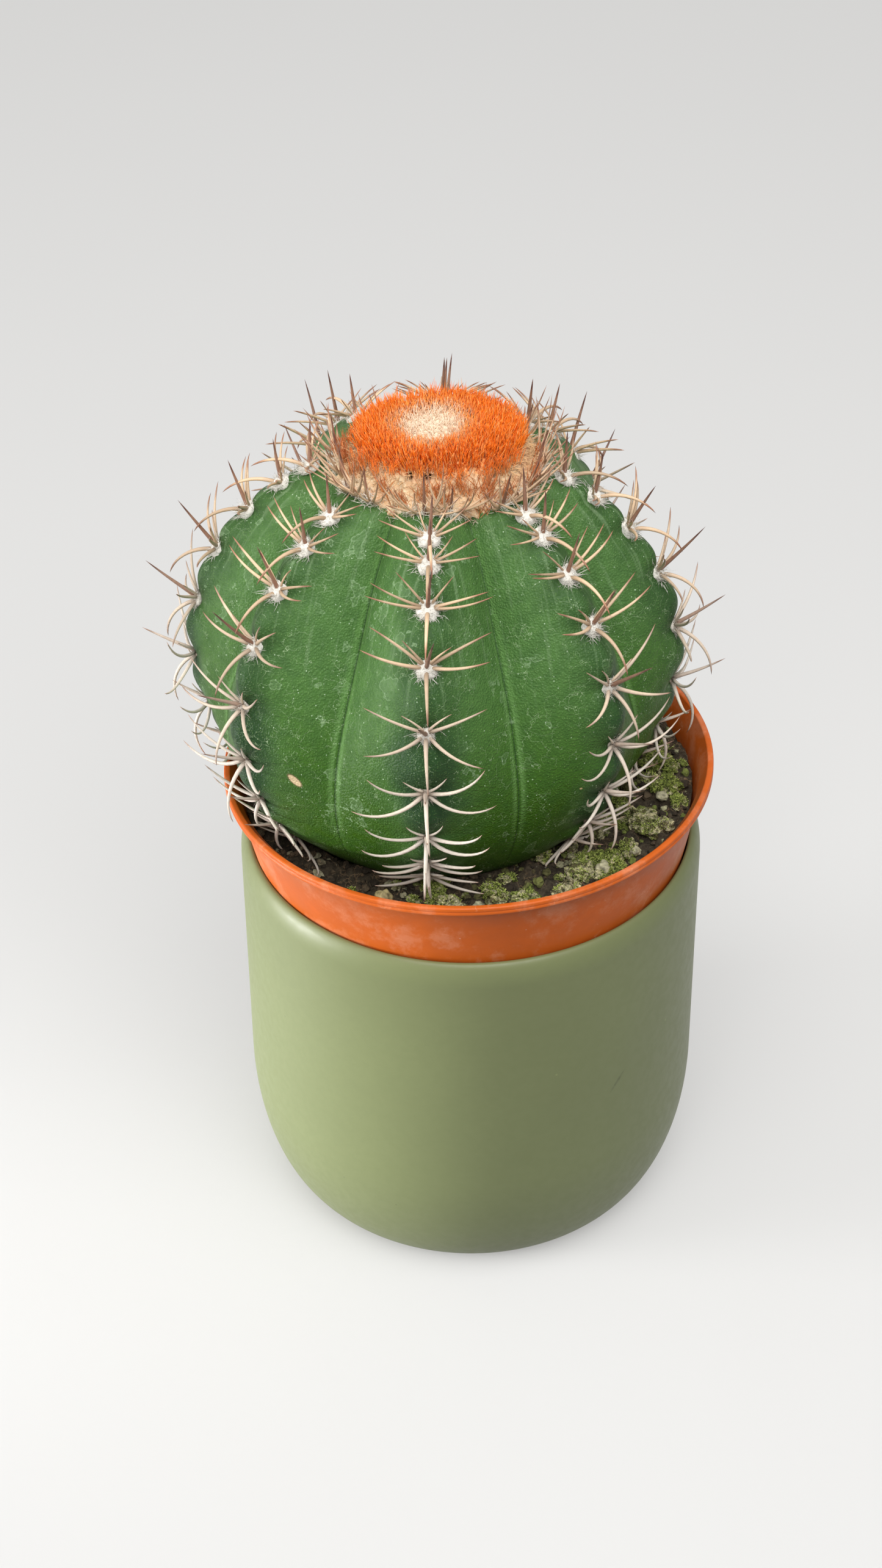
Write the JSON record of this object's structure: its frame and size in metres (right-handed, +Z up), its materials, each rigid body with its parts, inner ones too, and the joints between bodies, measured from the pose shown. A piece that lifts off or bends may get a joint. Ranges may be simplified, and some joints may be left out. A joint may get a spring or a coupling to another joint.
{
  "type": "potted turks cap cactus",
  "caption": "Ribbed globe cactus with curved spines and a bristly orange cap, growing in a plastic nursery pot that stands in the mouth of a round-bottomed glazed cachepot.",
  "frame": {"origin": "centre of the cachepot's flat underside, on the surface it stands on", "axes": "+Z up out of the pot, -Y towards the front, where the cactus shows its front rib and the free soil lies front and right"},
  "size_m": [0.1464, 0.1467, 0.2219],
  "materials": {
    "cachepot_glaze": "satin",
    "nursery_plastic": "satin",
    "peat_soil": "matte",
    "stem_skin": "satin",
    "cap_wool": "matte",
    "cap_bristles": "matte",
    "crown_wool": "matte",
    "spines": "satin",
    "moss": "matte",
    "grit": "matte",
    "pebble": "satin"
  },
  "bodies": {
    "root": {"cachepot": "cachepot_glaze", "nursery_pot": "nursery_plastic", "soil": "peat_soil", "cactus_stem": "stem_skin", "cephalium_wool": "cap_wool", "cephalium_bristles": "cap_bristles", "cephalium_crown_wool": "crown_wool", "spines_rib_1": "spines", "spines_rib_2": "spines", "spines_rib_3": "spines", "spines_rib_4": "spines", "spines_rib_5": "spines", "spines_rib_6": "spines", "spines_rib_7": "spines", "spines_rib_8": "spines", "moss_clump_1": "moss", "moss_clump_2": "moss", "moss_clump_3": "moss", "moss_clump_4": "moss", "grit_stone_1": "grit", "grit_stone_2": "grit", "grit_stone_3": "grit", "grit_stone_4": "grit", "grit_stone_5": "grit", "pebble": "pebble"}
  },
  "joints": []
}
